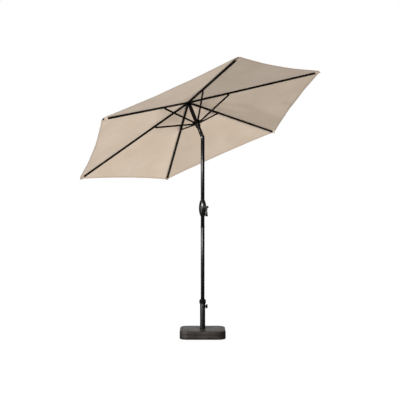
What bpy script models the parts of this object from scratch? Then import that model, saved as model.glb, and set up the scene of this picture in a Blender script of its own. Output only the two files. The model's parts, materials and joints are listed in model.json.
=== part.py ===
"""A crank and tilt patio umbrella standing in a weighted square base, open and tilted. Metres, +Z up.

The world origin is on the floor, on the pole's axis. Everything above the stem is built in frames (empties):
the pole frame turns about the stem with its +X towards the side the canopy leans to, the tilt frame leans it,
and each rib has a frame at its hub pivot with +X out along the rib.
"""

import math

import bmesh
import bpy
from mathutils import Matrix, Vector

# Clearances
GAP = 0.0003  # between two pieces that touch
RUNNING = 0.0003  # radial, around a shaft or pin
ROD_SIDES = 18

# Weighted base
BASE_SIDE = 0.450
BASE_HEIGHT = 0.078
BASE_CORNER = 0.080
BASE_EDGE_ROUND = 0.015
COVER_WALL = 0.0035
COVER_RIM = 0.024
PANEL_THICKNESS = 0.003
PANEL_MARGIN = 0.0015
PAD_THICKNESS = 0.004
PAD_INSET = 0.004
BALLAST_THICKNESS = 0.020
BALLAST_INSET = 0.015
STEM_RADIUS = 0.026
STEM_WALL = 0.0025
STEM_TOP = 0.350
FLANGE_RADIUS = 0.065
FLANGE_THICKNESS = 0.008
BOLT_RADIUS = 0.005
BOLT_CIRCLE = 0.049
BOLT_DEPTH = 0.014
BOLT_HEAD_RADIUS = 0.0095
BOLT_HEAD_HEIGHT = 0.0065
COLLAR_WALL = 0.007
COLLAR_SKIRT = 0.023
COLLAR_CROWN = 0.022
CLAMP_HEIGHT = 0.299
CLAMP_STUD_RADIUS = 0.004
CLAMP_BOSS_RADIUS = 0.0095
CLAMP_BOSS_REACH = 0.0035
KNOB_RADIUS = 0.020
KNOB_DEPTH = 0.020
KNOB_TAPER = 0.0011
KNOB_LOBES = 6

# Pole
POLE_RADIUS = 0.019
POLE_WALL = 0.0015
POLE_JOINT = 1.088
JOINT_BAND = 0.014
JOINT_BAND_PROUD = 0.0018
COUPLER_REACH = 0.050
PIVOT_HEIGHT = 1.975
TILT_AZIMUTH = math.radians(141.6)
TILT = math.radians(26.8)

# Crank
HOUSING_CENTRE = 1.2725
HOUSING_DEPTH = 0.040
HOUSING_BREADTH = 0.032
HOUSING_CURVE = 0.097
HOUSING_HALF_HEIGHT = 0.0825
HOUSING_WALL = 0.0025
HOUSING_SCREW_OFFSET = 0.052
SCREW_SHANK = 0.0018
SCREW_HEAD = 0.0042
SCREW_HEAD_HEIGHT = 0.002
CRANK_HEIGHT = 1.2835
SHAFT_RADIUS = 0.004
SHAFT_INNER_END = 0.030
CRANK_HUB_RADIUS = 0.0115
CRANK_HUB_LENGTH = 0.022
BEARING_RADIUS = 0.014
ARM_LENGTH = 0.037
ARM_WIDTH = 0.016
ARM_THICKNESS = 0.011
GRIP_RADIUS = 0.0115
GRIP_LENGTH = 0.042
GRIP_PIN_RADIUS = 0.0022
SPOOL_ROOM = 0.0015
SPOOL_FLANGE_DEPTH = 0.003

# Tilt knuckle
KNUCKLE_BODY = 0.055
KNUCKLE_THROAT_ROOM = 0.0035
KNUCKLE_SPIGOT = 0.040
TONGUE_HALF = 0.0072
TILT_PIN_RADIUS = 0.005
BUTTON_RADIUS = 0.006
BUTTON_DROP = 0.040
BUTTON_LENGTH = 0.010
BUTTON_TRAVEL = 0.0025

# Canopy frame, heights measured up the upper pole from the tilt pivot
APEX_HEIGHT = 0.398
RIM_RADIUS = 1.300
RIM_DROP = 0.274
RIB_COUNT = 6
FIRST_RIB = math.radians(28.3)
HUB_RADIUS = 0.044
HUB_PIVOT = 0.037
HUB_HALF_HEIGHT = 0.0085
HUB_SPIGOT = 0.012
RUNNER_HEIGHT = 0.166
RUNNER_RADIUS = 0.046
RUNNER_PIVOT = 0.039
RUNNER_WALL = 0.004
RUNNER_CREST = 0.022
RUNNER_SKIRT = 0.045
RUNNER_FLANGE_TOP = 0.008
RUNNER_FLANGE_LOW = 0.011
WIRE_RADIUS = 0.001
WIRE_TUNNEL = 0.0014
RIB_WIDTH = 0.013
RIB_HEIGHT = 0.016
TUBE_WALL = 0.001
STRUT_WIDTH = 0.012
STRUT_HEIGHT = 0.014
STRUT_JOINT = 0.371
LUG_DROP = 0.018
LUG_PIN_RADIUS = 0.0025
CAP_LENGTH = 0.018
CAP_PLUG = 0.020
CAP_NECK_RADIUS = 0.0035
CAP_NECK_LENGTH = 0.006
CAP_BUTTON_RADIUS = 0.006
CAP_BUTTON_LENGTH = 0.005
PULLEY_HEIGHT = 0.345
PULLEY_RADIUS = 0.013
PULLEY_THICKNESS = 0.008
FABRIC_LIFT = 0.0105
FABRIC_THICKNESS = 0.0015
FABRIC_OVERHANG = 0.004
CROWN_HOLE = 0.014
CORNER_CUT = 0.025
EDGE_SCALLOP = 0.035
EDGE_STEPS = 5
FINIAL_RADIUS = 0.020
FINIAL_HEIGHT = 0.052

# Worked out
FOLD_STEP = 2 * math.pi / RIB_COUNT
RIB_PITCH = math.atan(RIM_DROP / RIM_RADIUS)
HUB_RING_HEIGHT = APEX_HEIGHT - RIM_DROP / RIM_RADIUS * HUB_PIVOT
RIB_LENGTH = (RIM_RADIUS - HUB_PIVOT) / math.cos(RIB_PITCH)
PAD_TOP = PAD_THICKNESS + GAP
BALLAST_TOP = PAD_TOP + BALLAST_THICKNESS
FLANGE_TOP = BALLAST_TOP + GAP + FLANGE_THICKNESS
RECESS_FLOOR = BASE_HEIGHT - PANEL_THICKNESS - 2 * GAP
POLE_BORE = POLE_RADIUS - POLE_WALL
SPIGOT_RADIUS = POLE_BORE - RUNNING
HUB_LOW = HUB_RING_HEIGHT - HUB_HALF_HEIGHT - 0.003
CRANK_PLANE = HOUSING_DEPTH + 0.0035 + GAP
ARM_CENTRE = CRANK_PLANE + ARM_THICKNESS / 2
COLLAR_RADIUS = STEM_RADIUS + COLLAR_WALL
EAR_RADIUS = POLE_RADIUS - 0.0005
KNUCKLE_THROAT = EAR_RADIUS + KNUCKLE_THROAT_ROOM
SPOOL_FLANGE = POLE_BORE - 0.005
SPOOL_RADIUS = SPOOL_FLANGE - SPOOL_FLANGE_DEPTH
SPOOL_HALF = math.sqrt((POLE_BORE - SPOOL_ROOM) ** 2 - SPOOL_FLANGE**2)
LUG_HALF = STRUT_WIDTH / 2 - TUBE_WALL - 0.0005
FABRIC_SEAT = APEX_HEIGHT + FABRIC_LIFT

X_AXIS, Y_AXIS, Z_AXIS = Vector((1, 0, 0)), Vector((0, 1, 0)), Vector((0, 0, 1))


def clear_scene():
    for item in list(bpy.data.objects):
        bpy.data.objects.remove(item, do_unlink=True)


def collection(name):
    made = bpy.data.collections.new(name)
    bpy.context.scene.collection.children.link(made)
    return made


def paint(name, colour, roughness, metallic=0.0):
    made = bpy.data.materials.new(name)
    made.use_nodes = True
    shader = made.node_tree.nodes["Principled BSDF"]
    shader.inputs["Base Color"].default_value = (*colour, 1.0)
    shader.inputs["Roughness"].default_value = roughness
    shader.inputs["Metallic"].default_value = metallic
    return made


def frame(name, parent=None, at=(0, 0, 0), turn=(0, 0, 0)):
    """An empty that stands on a joint's axis."""
    made = bpy.data.objects.new(name, None)
    made.location, made.rotation_euler, made.parent = at, turn, parent
    made.empty_display_size = 0.02
    PARTS.objects.link(made)
    return made


def piece(name, mesh, material, parent=None, smooth=True):
    """A named sub-part, whose mesh is in its parent frame's coordinates."""
    made = bpy.data.objects.new(name, mesh)
    made.parent = parent
    PARTS.objects.link(made)
    if not mesh.materials:
        mesh.materials.append(material)
    if smooth:
        mesh.shade_smooth()
        mesh.set_sharp_from_angle(angle=math.radians(35))
    return made


def mesh_of(bm, name="shape"):
    bmesh.ops.recalc_face_normals(bm, faces=bm.faces)
    mesh = bpy.data.meshes.new(name)
    bm.to_mesh(mesh)
    bm.free()
    return mesh


def block(low, high, bevel=0.0, keep=None):
    """A box between two corners. bevel rounds the edges that keep() accepts, or all of them."""
    low, high = Vector(low), Vector(high)
    size = high - low
    bm = bmesh.new()
    place = Matrix.Translation((low + high) / 2) @ Matrix.Diagonal((*size, 1))
    bmesh.ops.create_cube(bm, size=1, matrix=place)
    if bevel:
        edges = [e for e in bm.edges if keep is None or keep(e)]
        bmesh.ops.bevel(bm, geom=edges, offset=bevel, segments=2, profile=0.5, affect="EDGES")
    return mesh_of(bm)


def rod(radius, start, end, sides=ROD_SIDES):
    """A round bar from one point to another."""
    start, end = Vector(start), Vector(end)
    along = end - start
    turn = along.to_track_quat("Z", "Y").to_matrix().to_4x4()
    bm = bmesh.new()
    place = Matrix.Translation((start + end) / 2) @ turn
    bmesh.ops.create_cone(
        bm, cap_ends=True, segments=sides, radius1=radius, radius2=radius, depth=along.length, matrix=place
    )
    return mesh_of(bm)


def square_slab(side, corner, low, high, top_round=0.0):
    """A square slab with round upright corners and, if asked, a rounded top edge."""
    bm = bmesh.new()
    place = Matrix.Translation((0, 0, (low + high) / 2)) @ Matrix.Diagonal((side, side, high - low, 1))
    bmesh.ops.create_cube(bm, size=1, matrix=place)
    upright = [e for e in bm.edges if abs(e.verts[0].co.z - e.verts[1].co.z) > GAP]
    bmesh.ops.bevel(bm, geom=upright, offset=corner, segments=6, profile=0.5, affect="EDGES")
    if top_round:
        top = [e for e in bm.edges if all(v.co.z > high - GAP / 10 for v in e.verts)]
        bmesh.ops.bevel(bm, geom=top, offset=top_round, segments=3, profile=0.5, affect="EDGES")
    return mesh_of(bm)


def ring_wire(radius, thickness, sides=6, steps=30):
    """A closed ring of round wire about Z."""
    bpy.ops.mesh.primitive_torus_add(
        major_radius=radius, minor_radius=thickness, major_segments=steps, minor_segments=sides
    )
    made = bpy.context.object
    mesh = made.data
    bpy.data.objects.remove(made, do_unlink=True)
    return mesh


def turned(name, profile, material, parent=None, closed=True, steps=20, axis=Z_AXIS):
    """A piece turned about its frame's axis. The profile, (radius, height), runs down its outside."""
    mesh = bpy.data.meshes.new(name)
    count = len(profile)
    edges = [(i, (i + 1) % count) for i in range(count if closed else count - 1)]
    mesh.from_pydata([(r, 0, h) for r, h in profile], edges, [])
    made = piece(name, mesh, material, parent, smooth=False)
    screw = made.modifiers.new("turn", "SCREW")
    screw.steps = screw.render_steps = steps
    screw.use_merge_vertices = True
    screw.merge_threshold = 0.00001
    screw.use_smooth_shade = False
    if axis != Z_AXIS:
        made.rotation_euler = axis.to_track_quat("Z", "Y").to_euler()
    return made


def tool(target, mesh, operation="DIFFERENCE"):
    """Cuts a hidden shape, in the target's frame, out of the target or joins it on."""
    cutter = bpy.data.objects.new(target.name + "_tool", mesh)
    CUTTERS.objects.link(cutter)
    cutter.parent = target.parent
    cutter.hide_render = True
    cutter.display_type = "WIRE"
    modifier = target.modifiers.new(operation.lower(), "BOOLEAN")
    modifier.operation = operation
    modifier.object = cutter
    modifier.solver = "EXACT"
    return cutter


def settled_mesh(made):
    """The mesh that an object's modifiers give, with the object and its cutters removed."""
    bpy.context.view_layer.update()
    mesh = bpy.data.meshes.new_from_object(made.evaluated_get(bpy.context.evaluated_depsgraph_get()))
    cutters = [m.object for m in made.modifiers if m.type == "BOOLEAN"]
    for item in [made, *cutters]:
        bpy.data.objects.remove(item, do_unlink=True)
    return mesh


def tube_profile(outer, inner, low, high):
    return [(inner, high), (outer, high), (outer, low), (inner, low)]


# The weighted base


def make_base():
    pad = square_slab(BASE_SIDE - 2 * PAD_INSET, BASE_CORNER - PAD_INSET, 0, PAD_THICKNESS)
    piece("floor_pad", pad, RUBBER, smooth=False)

    inset = COVER_WALL + BALLAST_INSET
    plate = square_slab(BASE_SIDE - 2 * inset, BASE_CORNER - inset, PAD_TOP, BALLAST_TOP)
    ballast = piece("ballast_plate", plate, CAST_IRON, smooth=False)

    shell = square_slab(BASE_SIDE, BASE_CORNER, PAD_TOP, BASE_HEIGHT, BASE_EDGE_ROUND)
    cover = piece("base_cover", shell, BASE_PLASTIC)
    inner_top = RECESS_FLOOR - COVER_WALL
    inner_side, inner_corner = BASE_SIDE - 2 * COVER_WALL, BASE_CORNER - COVER_WALL
    inner_round = BASE_EDGE_ROUND - COVER_WALL
    tool(cover, square_slab(inner_side, inner_corner, -PAD_THICKNESS, inner_top, inner_round))
    recess_side, recess_corner = BASE_SIDE - 2 * COVER_RIM, BASE_CORNER - COVER_RIM
    tool(cover, square_slab(recess_side, recess_corner, RECESS_FLOOR, 2 * BASE_HEIGHT))
    stem_hole = STEM_RADIUS + PANEL_MARGIN
    tool(cover, rod(stem_hole + GAP, (0, 0, inner_top - COVER_WALL), (0, 0, BASE_HEIGHT), 26))

    panel_side, panel_corner = recess_side - 2 * PANEL_MARGIN, recess_corner - PANEL_MARGIN
    panel_low = RECESS_FLOOR + GAP
    slab = square_slab(panel_side, panel_corner, panel_low, panel_low + PANEL_THICKNESS)
    panel = piece("base_top_panel", slab, BASE_PLASTIC)
    tool(panel, rod(stem_hole, (0, 0, RECESS_FLOOR - GAP), (0, 0, 2 * BASE_HEIGHT), 26))

    stem_bore = STEM_RADIUS - STEM_WALL
    flange_low = BALLAST_TOP + GAP
    stem = turned(
        "base_stem",
        [
            (stem_bore, STEM_TOP),
            (STEM_RADIUS, STEM_TOP),
            (STEM_RADIUS, FLANGE_TOP + 0.004),
            (STEM_RADIUS + 0.004, FLANGE_TOP),
            (FLANGE_RADIUS, FLANGE_TOP),
            (FLANGE_RADIUS, flange_low),
            (stem_bore, flange_low),
        ],
        POLE_PAINT,
        steps=26,
    )
    boss_end = STEM_RADIUS + CLAMP_BOSS_REACH
    boss_start = (STEM_RADIUS - STEM_WALL / 2, 0, CLAMP_HEIGHT)
    tool(stem, rod(CLAMP_BOSS_RADIUS, boss_start, (boss_end, 0, CLAMP_HEIGHT)), "UNION")
    bore_ends = [(x, 0, CLAMP_HEIGHT) for x in (POLE_RADIUS, 2 * boss_end)]
    tool(stem, rod(CLAMP_STUD_RADIUS + RUNNING, *bore_ends, 12))

    for i in range(4):
        angle = math.pi / 4 + i * math.pi / 2
        x, y = BOLT_CIRCLE * math.cos(angle), BOLT_CIRCLE * math.sin(angle)
        hole_low = BALLAST_TOP - BOLT_DEPTH - 2 * GAP
        tool(ballast, rod(BOLT_RADIUS + RUNNING, (x, y, hole_low), (x, y, 2 * BALLAST_TOP), 12))
        tool(stem, rod(BOLT_RADIUS + RUNNING, (x, y, 0), (x, y, 2 * FLANGE_TOP), 12))
        head_low = FLANGE_TOP + GAP
        head = rod(BOLT_HEAD_RADIUS, (x, y, head_low), (x, y, head_low + BOLT_HEAD_HEIGHT), 6)
        bolt = piece(f"stem_bolt_{i + 1}", head, STEEL, smooth=False)
        tool(bolt, rod(BOLT_RADIUS, (x, y, BALLAST_TOP - BOLT_DEPTH), (x, y, head_low + GAP), 12), "UNION")

    skirt_low, crown = STEM_TOP - COLLAR_SKIRT, STEM_TOP + COLLAR_CROWN
    pole_bore, skirt_bore = POLE_RADIUS + RUNNING, STEM_RADIUS + RUNNING
    turned(
        "stem_collar",
        [
            (pole_bore, crown),
            (pole_bore + 0.003, crown),
            (COLLAR_RADIUS - 0.003, crown - 0.007),
            (COLLAR_RADIUS, crown - 0.011),
            (COLLAR_RADIUS, skirt_low + 0.004),
            (COLLAR_RADIUS - 0.002, skirt_low),
            (skirt_bore, skirt_low),
            (skirt_bore, STEM_TOP + GAP),
            (pole_bore, STEM_TOP + GAP),
        ],
        BLACK_PLASTIC,
        steps=26,
    )


def make_clamp():
    at = frame("clamp_axis", at=(0, 0, CLAMP_HEIGHT))
    knob_face = STEM_RADIUS + CLAMP_BOSS_REACH + GAP
    stud_end = knob_face + KNOB_DEPTH - 0.004
    stud = rod(CLAMP_STUD_RADIUS, (POLE_RADIUS + 2 * GAP, 0, 0), (stud_end, 0, 0), 12)
    piece("clamp_stud", stud, STEEL, at)

    bm = bmesh.new()
    bmesh.ops.create_cone(
        bm,
        cap_ends=True,
        segments=6 * KNOB_LOBES,
        radius1=KNOB_RADIUS,
        radius2=KNOB_RADIUS - KNOB_TAPER,
        depth=KNOB_DEPTH,
    )
    for v in bm.verts:
        lobe = 1 - 0.08 * (1 - math.cos(KNOB_LOBES * math.atan2(v.co.y, v.co.x)))
        v.co.x, v.co.y = v.co.x * lobe, v.co.y * lobe
    centre = Matrix.Translation((knob_face + KNOB_DEPTH / 2, 0, 0))
    bmesh.ops.transform(bm, matrix=centre @ Matrix.Rotation(math.pi / 2, 4, "Y"), verts=bm.verts)
    knob = piece("clamp_knob", mesh_of(bm), BLACK_PLASTIC, at)
    tool(knob, rod(CLAMP_STUD_RADIUS + GAP, (0, 0, 0), (stud_end + GAP, 0, 0), 12))


# The pole, up to the tilt joint


def make_pole(pole):
    foot = BALLAST_TOP + 2 * GAP
    foot_rim = foot + 0.005
    plug_top = foot_rim + 0.015
    turned(
        "pole_foot_plug",
        [
            (0, plug_top),
            (SPIGOT_RADIUS, plug_top),
            (SPIGOT_RADIUS, foot_rim),
            (POLE_RADIUS, foot_rim),
            (POLE_RADIUS, foot + 0.001),
            (POLE_RADIUS - 0.001, foot),
            (0, foot),
        ],
        BLACK_PLASTIC,
        pole,
        closed=False,
    )
    band_low, band_high = POLE_JOINT - JOINT_BAND / 2, POLE_JOINT + JOINT_BAND / 2
    low_tube = tube_profile(POLE_RADIUS, POLE_BORE, foot_rim + GAP, band_low - GAP)
    turned("lower_pole", low_tube, POLE_PAINT, pole)
    band, sleeve = POLE_RADIUS + JOINT_BAND_PROUD, SPIGOT_RADIUS - 0.002
    turned(
        "pole_coupler",
        [
            (sleeve, POLE_JOINT + COUPLER_REACH),
            (SPIGOT_RADIUS, POLE_JOINT + COUPLER_REACH),
            (SPIGOT_RADIUS, band_high),
            (POLE_RADIUS, band_high),
            (band, band_high - 0.003),
            (band, band_low + 0.003),
            (POLE_RADIUS, band_low),
            (SPIGOT_RADIUS, band_low),
            (SPIGOT_RADIUS, POLE_JOINT - COUPLER_REACH),
            (sleeve, POLE_JOINT - COUPLER_REACH),
        ],
        BLACK_PLASTIC,
        pole,
    )
    top = PIVOT_HEIGHT - KNUCKLE_BODY - GAP
    middle_tube = tube_profile(POLE_RADIUS, POLE_BORE, band_high + GAP, top)
    middle = turned("middle_pole", middle_tube, POLE_PAINT, pole)
    reach = 2 * POLE_RADIUS
    tool(middle, rod(SHAFT_RADIUS + RUNNING, (-reach, 0, CRANK_HEIGHT), (reach, 0, CRANK_HEIGHT), 12))
    for side in (1, -1):
        level = HOUSING_CENTRE + side * HOUSING_SCREW_OFFSET
        tool(middle, rod(SCREW_SHANK + RUNNING, (-reach, 0, level), (0, 0, level), 12))


def ellipsoid(depth, breadth, height):
    bm = bmesh.new()
    place = Matrix.Translation((0, 0, HOUSING_CENTRE)) @ Matrix.Diagonal((depth, breadth, height, 1))
    bmesh.ops.create_uvsphere(bm, u_segments=20, v_segments=14, radius=1, matrix=place)
    return mesh_of(bm)


def make_housing(pole):
    """Two half shells around the pole. The crank comes out of the front one, on the -X side."""
    wall = HOUSING_WALL
    level = math.sqrt(1 - (HOUSING_SCREW_OFFSET / HOUSING_CURVE) ** 2)
    head_seat = HOUSING_DEPTH * level - 0.0013
    for name, side in (("crank_housing_front", -1), ("crank_housing_back", 1)):
        half = piece(name, ellipsoid(HOUSING_DEPTH, HOUSING_BREADTH, HOUSING_CURVE), BLACK_PLASTIC, pole)
        if side < 0:
            boss_ends = [(x, 0, CRANK_HEIGHT) for x in (2 * wall - HOUSING_DEPTH, GAP - CRANK_PLANE)]
            tool(half, rod(BEARING_RADIUS, *boss_ends), "UNION")
        tool(half, ellipsoid(HOUSING_DEPTH - wall, HOUSING_BREADTH - wall, HOUSING_CURVE - wall))
        bore_radius = POLE_RADIUS / math.cos(math.pi / ROD_SIDES) + RUNNING
        bore = rod(bore_radius, (0, 0, PIVOT_HEIGHT), (0, 0, POLE_JOINT))
        tool(half, bore)
        far, limit = 2 * HOUSING_CURVE, HOUSING_HALF_HEIGHT
        for way in (1, -1):
            ends = sorted((HOUSING_CENTRE + way * limit, HOUSING_CENTRE + way * far))
            tool(half, block((-far, -far, ends[0]), (far, far, ends[1])))
        cut = sorted((side * GAP / 2, -side * far))
        tool(half, block((cut[0], -far, HOUSING_CENTRE - far), (cut[1], far, HOUSING_CENTRE + far)))
        if side < 0:
            outside = -2 * HOUSING_DEPTH
            tool(half, rod(SHAFT_RADIUS + RUNNING, (0, 0, CRANK_HEIGHT), (outside, 0, CRANK_HEIGHT), 12))
            for way, label in ((1, "upper"), (-1, "lower")):
                z = HOUSING_CENTRE + way * HOUSING_SCREW_OFFSET
                tool(half, rod(SCREW_HEAD + 0.0005, (-head_seat, 0, z), (outside, 0, z), 12))
                tool(half, rod(SCREW_SHANK + RUNNING, (0, 0, z), (outside, 0, z), 12))
                head_low = head_seat + GAP
                head = rod(SCREW_HEAD, (-head_low, 0, z), (-head_low - SCREW_HEAD_HEIGHT, 0, z), 12)
                screw = piece(f"housing_screw_{label}", head, STEEL, pole)
                shank_ends = [(x, 0, z) for x in (0.001 - POLE_BORE, -head_low - GAP)]
                tool(screw, rod(SCREW_SHANK, *shank_ends, 12), "UNION")


def make_crank(pole):
    """The crank arm and its shaft, the cord spool on it inside the pole, and the fold-out grip."""
    crank = frame("crank_axis", pole, (0, 0, CRANK_HEIGHT))
    hub_end = CRANK_PLANE + CRANK_HUB_LENGTH
    hub = rod(CRANK_HUB_RADIUS, (-CRANK_PLANE, 0, 0), (-hub_end, 0, 0))
    arm = piece("crank_arm", hub, BLACK_PLASTIC, crank)
    tool(arm, rod(SHAFT_RADIUS, (SHAFT_INNER_END, 0, 0), (-hub_end + 0.002, 0, 0), 12), "UNION")
    half_width, ear_drop = ARM_WIDTH / 2, 0.0065
    outer, inner = -CRANK_PLANE - ARM_THICKNESS, -CRANK_PLANE
    bar = block((outer, -half_width, -ARM_LENGTH - ear_drop), (inner, half_width, 0.002), 0.002)
    tool(arm, bar, "UNION")
    slot_half = half_width - 0.0035
    slot_low, slot_high = -ARM_LENGTH - 0.02, 0.010 - ARM_LENGTH
    tool(arm, block((outer - 0.01, -slot_half, slot_low), (inner + 0.01, slot_half, slot_high)))
    pin_half = half_width - 0.001
    pin_ends = [(-ARM_CENTRE, side * pin_half, -ARM_LENGTH) for side in (-1, 1)]
    tool(arm, rod(GRIP_PIN_RADIUS, *pin_ends, 12), "UNION")

    bore, cheek = SHAFT_RADIUS + GAP, SPOOL_HALF - 0.002
    turned(
        "cord_spool",
        [
            (bore, SPOOL_HALF),
            (SPOOL_FLANGE, SPOOL_HALF),
            (SPOOL_FLANGE, cheek),
            (SPOOL_RADIUS, cheek),
            (SPOOL_RADIUS, -cheek),
            (SPOOL_FLANGE, -cheek),
            (SPOOL_FLANGE, -SPOOL_HALF),
            (bore, -SPOOL_HALF),
        ],
        NYLON,
        crank,
        axis=X_AXIS,
    )

    fold = frame("grip_hinge", crank, (-ARM_CENTRE, 0, -ARM_LENGTH))
    tongue_half, tongue = slot_half - 0.0004, 0.0055
    neck = 0.0115
    stem = piece(
        "crank_grip_pin",
        block((-tongue, -tongue_half, -neck), (tongue, tongue_half, tongue), 0.0015),
        STEEL,
        fold,
        smooth=False,
    )
    tail = neck + GRIP_LENGTH + 2 * GAP
    tool(stem, rod(SHAFT_RADIUS, (0, 0, -neck + 0.001), (0, 0, -tail - 0.001), 12), "UNION")
    tool(stem, rod(0.007, (0, 0, -tail), (0, 0, -tail - 0.002), 12), "UNION")
    tool(stem, rod(GRIP_PIN_RADIUS + RUNNING, (0, -half_width, 0), (0, half_width, 0), 12))
    bore = SHAFT_RADIUS + RUNNING
    top, low = -neck - GAP, -neck - GAP - GRIP_LENGTH
    turned(
        "crank_grip",
        [
            (bore, top),
            (GRIP_RADIUS - 0.003, top),
            (GRIP_RADIUS - 0.001, top - 0.004),
            (GRIP_RADIUS, (top + low) / 2),
            (GRIP_RADIUS - 0.001, low + 0.004),
            (GRIP_RADIUS - 0.003, low),
            (bore, low),
        ],
        GRIP_PLASTIC,
        fold,
    )


# The tilt joint


def tombstone(radius, drop, half_width, way):
    """A bar with a half-round end about the Y axis. way is +1 if the round end points up."""
    bm = bmesh.new()
    steps = 12
    arc = [math.pi * i / steps for i in range(steps + 1)]
    outline = [(radius * math.cos(a), way * radius * math.sin(a)) for a in arc]
    outline += [(-radius, -way * drop), (radius, -way * drop)]
    flat = bm.faces.new([bm.verts.new((x, -half_width, z)) for x, z in outline])
    grown = bmesh.ops.extrude_face_region(bm, geom=[flat])
    moved = [v for v in grown["geom"] if isinstance(v, bmesh.types.BMVert)]
    bmesh.ops.translate(bm, verts=moved, vec=(0, 2 * half_width, 0))
    return mesh_of(bm)


def make_tilt_joint(pole, mast):
    far, half_slot = 2 * POLE_RADIUS, TONGUE_HALF + GAP
    joint = frame("knuckle_axis", pole, (0, 0, PIVOT_HEIGHT))
    spigot_low = -KNUCKLE_BODY - KNUCKLE_SPIGOT
    lower = turned(
        "lower_knuckle",
        [
            (0, EAR_RADIUS + 0.001),
            (POLE_RADIUS, EAR_RADIUS + 0.001),
            (POLE_RADIUS, -KNUCKLE_BODY),
            (SPIGOT_RADIUS, -KNUCKLE_BODY),
            (SPIGOT_RADIUS, spigot_low),
            (0, spigot_low),
        ],
        KNUCKLE_METAL,
        joint,
        closed=False,
    )
    tool(lower, tombstone(EAR_RADIUS, 2 * -spigot_low, far, 1), "INTERSECT")
    tool(lower, block((-far, -half_slot, -KNUCKLE_THROAT), (far, half_slot, far)))
    tool(lower, rod(TILT_PIN_RADIUS + RUNNING, (0, -far, 0), (0, far, 0)))
    button_end = POLE_RADIUS - BUTTON_LENGTH + 0.0025
    hole_end = button_end - BUTTON_TRAVEL - 2 * GAP
    tool(lower, rod(BUTTON_RADIUS + RUNNING, (-far, 0, -BUTTON_DROP), (-hole_end, 0, -BUTTON_DROP), 20))

    button_ends = [(x, 0, -BUTTON_DROP) for x in (-button_end - BUTTON_LENGTH, -button_end)]
    piece("tilt_button", rod(BUTTON_RADIUS, *button_ends, 20), BLACK_PLASTIC, joint)

    head, half = TILT_PIN_RADIUS + 0.003, POLE_RADIUS + GAP
    turned(
        "tilt_pin",
        [
            (0, half + 0.002),
            (head, half + 0.002),
            (head, half),
            (TILT_PIN_RADIUS, half),
            (TILT_PIN_RADIUS, -half),
            (head, -half),
            (head, -half - 0.002),
            (0, -half - 0.002),
        ],
        STEEL,
        joint,
        closed=False,
        steps=20,
        axis=Y_AXIS,
    )

    upper = turned(
        "upper_knuckle",
        [
            (0, KNUCKLE_BODY + KNUCKLE_SPIGOT),
            (SPIGOT_RADIUS, KNUCKLE_BODY + KNUCKLE_SPIGOT),
            (SPIGOT_RADIUS, KNUCKLE_BODY),
            (POLE_RADIUS, KNUCKLE_BODY),
            (POLE_RADIUS, -EAR_RADIUS - 0.001),
            (0, -EAR_RADIUS - 0.001),
        ],
        KNUCKLE_METAL,
        mast,
        closed=False,
    )
    tool(upper, tombstone(EAR_RADIUS, 2 * -spigot_low, far, -1), "INTERSECT")
    for side in (1, -1):
        cut = sorted((side * TONGUE_HALF, side * far))
        tool(upper, block((-far, cut[0], -far), (far, cut[1], KNUCKLE_THROAT)))
    tool(upper, rod(TILT_PIN_RADIUS + RUNNING, (0, -far, 0), (0, far, 0)))


# The mast above the tilt joint, its hub, runner and finial


def spoke_slots(target, width, inner, outer, low, high):
    for i in range(RIB_COUNT):
        turn = Matrix.Rotation(FIRST_RIB + i * FOLD_STEP, 4, "Z")
        slot = block((inner, -width / 2, low), (outer, width / 2, high))
        slot.transform(turn)
        tool(target, slot)


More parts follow.
